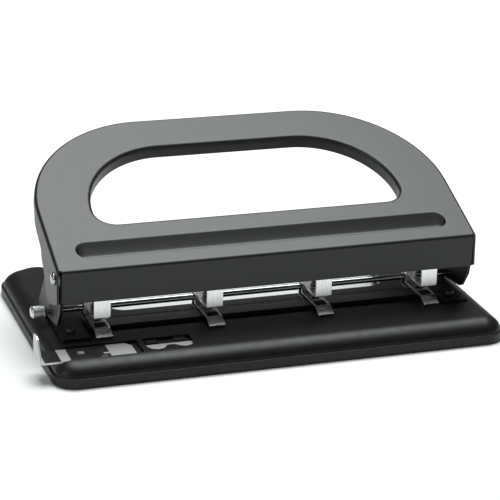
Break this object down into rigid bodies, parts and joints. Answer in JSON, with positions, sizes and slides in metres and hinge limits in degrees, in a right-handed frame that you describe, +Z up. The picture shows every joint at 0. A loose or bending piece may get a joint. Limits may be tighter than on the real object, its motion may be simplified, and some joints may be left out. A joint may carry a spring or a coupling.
{
  "type": "hole punch",
  "caption": "Heavy-duty four-hole paper punch: black steel base with two rear legs, D-shaped lever handle, spring-loaded punch heads and a sliding paper gauge.",
  "frame": {"origin": "on the table plane, in the middle of the row of punch pins, at the centre of the middle foot pad", "axes": "+X along the row of heads to the user's right, +Y away from the user towards the rear legs, +Z up"},
  "size_m": [0.334, 0.192, 0.1233],
  "materials": {
    "black_enamel": "satin black enamel",
    "tray_plastic": "moulded black plastic",
    "foot_rubber": "matt rubber",
    "handle_enamel": "satin charcoal enamel",
    "zinc_screws": "zinc plated",
    "zinc_steel": "zinc plated sheet",
    "head_nickel": "bright nickel plated sheet",
    "pin_steel": "ground hardened steel",
    "spring_steel": "bright wire",
    "dark_clip": "black oxide",
    "chrome_parts": "polished chrome",
    "knob_metal": "knurled, satin",
    "washer_nylon": "natural nylon",
    "channel_plastic": "moulded black plastic",
    "gauge_metal": "satin nickel plated",
    "label_print": "black printed label with white marks",
    "clip_metal": "bright pressed spring steel"
  },
  "bodies": {
    "base": {"base_panel": "black_enamel", "chip_tray": "tray_plastic", "rubber_feet": "foot_rubber", "die_rail": "black_enamel", "frame_left": "black_enamel", "frame_right": "black_enamel", "frame_screws": "zinc_screws", "head_screws": "zinc_screws", "die_plate_1": "zinc_steel", "die_plate_2": "zinc_steel", "die_plate_3": "zinc_steel", "die_plate_4": "zinc_steel", "head_bracket_1": "head_nickel", "head_bracket_2": "head_nickel", "head_bracket_3": "head_nickel", "head_bracket_4": "head_nickel", "pivot_pins": "chrome_parts", "pivot_washers": "washer_nylon", "gauge_channel": "channel_plastic", "index_plate": "clip_metal"},
    "handle": {"handle_cover": "handle_enamel", "press_bar": "zinc_steel"},
    "pin_1": {"punch_pin_1": "pin_steel", "pin_clip_1": "dark_clip", "return_spring_1": "spring_steel"},
    "pin_2": {"punch_pin_2": "pin_steel", "pin_clip_2": "dark_clip", "return_spring_2": "spring_steel"},
    "pin_3": {"punch_pin_3": "pin_steel", "pin_clip_3": "dark_clip", "return_spring_3": "spring_steel"},
    "pin_4": {"punch_pin_4": "pin_steel", "pin_clip_4": "dark_clip", "return_spring_4": "spring_steel"},
    "rod": {"lock_rod": "chrome_parts", "rod_knob": "knob_metal", "rod_clip": "dark_clip"},
    "gauge": {"gauge_bar": "gauge_metal", "gauge_label": "label_print", "gauge_end_label": "label_print"}
  },
  "joints": [
    {"name": "handle_pivot", "type": "hinge", "parent": "base", "child": "handle", "pos_m": [0, -0.013, 0.0595], "axis": [-1, 0, 0], "range_deg": [0, 34], "stiffness_Nm_per_rad": 1.5, "springref_deg": -28.65},
    {"name": "pin_1_stroke", "type": "slide", "parent": "base", "child": "pin_1", "axis": [0, 0, -1], "range_m": [0, 0.0085], "deforming": ["return_spring_1"]},
    {"name": "pin_2_stroke", "type": "slide", "parent": "base", "child": "pin_2", "axis": [0, 0, -1], "range_m": [0, 0.0085], "deforming": ["return_spring_2"]},
    {"name": "pin_3_stroke", "type": "slide", "parent": "base", "child": "pin_3", "axis": [0, 0, -1], "range_m": [0, 0.0085], "deforming": ["return_spring_3"]},
    {"name": "pin_4_stroke", "type": "slide", "parent": "base", "child": "pin_4", "axis": [0, 0, -1], "range_m": [0, 0.0085], "deforming": ["return_spring_4"]},
    {"name": "rod_turn", "type": "hinge", "parent": "base", "child": "rod", "pos_m": [0, 0.0159, 0.0246], "axis": [1, 0, 0], "continuous": true},
    {"name": "gauge_slide", "type": "slide", "parent": "base", "child": "gauge", "axis": [1, 0, 0], "range_m": [-0.045, 0.0035]}
  ],
  "couplings": [
    {"joint": "pin_1_stroke", "follows": "handle_pivot", "m_per_rad": 0.01392},
    {"joint": "pin_2_stroke", "follows": "handle_pivot", "m_per_rad": 0.01392},
    {"joint": "pin_3_stroke", "follows": "handle_pivot", "m_per_rad": 0.01392},
    {"joint": "pin_4_stroke", "follows": "handle_pivot", "m_per_rad": 0.01392}
  ]
}
